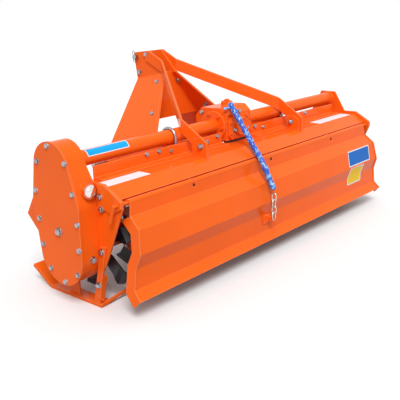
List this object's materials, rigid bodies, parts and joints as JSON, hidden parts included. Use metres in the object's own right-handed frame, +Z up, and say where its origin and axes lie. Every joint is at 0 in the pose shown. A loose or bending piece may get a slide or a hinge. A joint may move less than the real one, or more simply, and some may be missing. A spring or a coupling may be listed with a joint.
{
  "type": "rotary tiller",
  "caption": "Three point hitch rotary tiller with a side gear case, a bladed rotor, a bent rear shield on a hinge rod, an A shaped mast and skids.",
  "frame": {"origin": "on the ground under the middle of the machine's box", "axes": "+X to the machine's right, +Y forward in the direction of travel, +Z up"},
  "size_m": [2.224, 1.0176, 0.986],
  "materials": {
    "paint": "glossy orange paint",
    "steel": "zinc plated",
    "black": "satin black paint",
    "sleeve": "blue plastic sleeve"
  },
  "bodies": {
    "frame": {"gear_case": "paint", "gear_case_cover": "paint", "left_side_plate": "paint", "right_side_plate": "paint", "hood_ends": "paint", "left_tube": "paint", "right_tube": "paint", "gearbox_housing": "paint", "gearbox_rear_cover": "paint", "hood": "paint", "hood_beam": "paint", "mast_left": "paint", "mast_right": "paint", "mast_web": "paint", "top_link_pin": "steel", "strut_left": "paint", "strut_right": "paint", "hitch_arm_left": "paint", "hitch_arm_right": "paint", "hitch_bar": "paint", "lower_pins": "steel", "u_bolts": "steel", "hinge_rod": "paint", "skid_left": "paint", "skid_right": "paint", "skid_upright_left": "paint", "skid_upright_right": "paint", "skid_tie": "paint", "rotor_bearing": "paint", "chain_sleeve": "sleeve", "chain_links": "steel"},
    "rotor": {"rotor_shaft": "paint", "blades_left_hand": "black", "blades_right_hand": "black"},
    "shield": {"shield_panel": "paint", "shield_cheeks": "paint", "chain_bracket": "paint"},
    "input": {"input_shaft": "steel"}
  },
  "joints": [
    {"name": "rotor_spin", "type": "hinge", "parent": "frame", "child": "rotor", "pos_m": [0.021, -0.11325, 0.24], "axis": [1, 0, 0], "continuous": true},
    {"name": "shield_lift", "type": "hinge", "parent": "frame", "child": "shield", "pos_m": [0.021, -0.38125, 0.482], "axis": [-1, 0, 0], "range_deg": [0, 65], "deforming": ["chain_sleeve", "chain_links"]},
    {"name": "input_spin", "type": "hinge", "parent": "frame", "child": "input", "pos_m": [0.021, 0.09275, 0.542], "axis": [0, 1, 0], "continuous": true}
  ],
  "couplings": [
    {"joint": "input_spin", "follows": "rotor_spin", "ratio": -2.45}
  ]
}
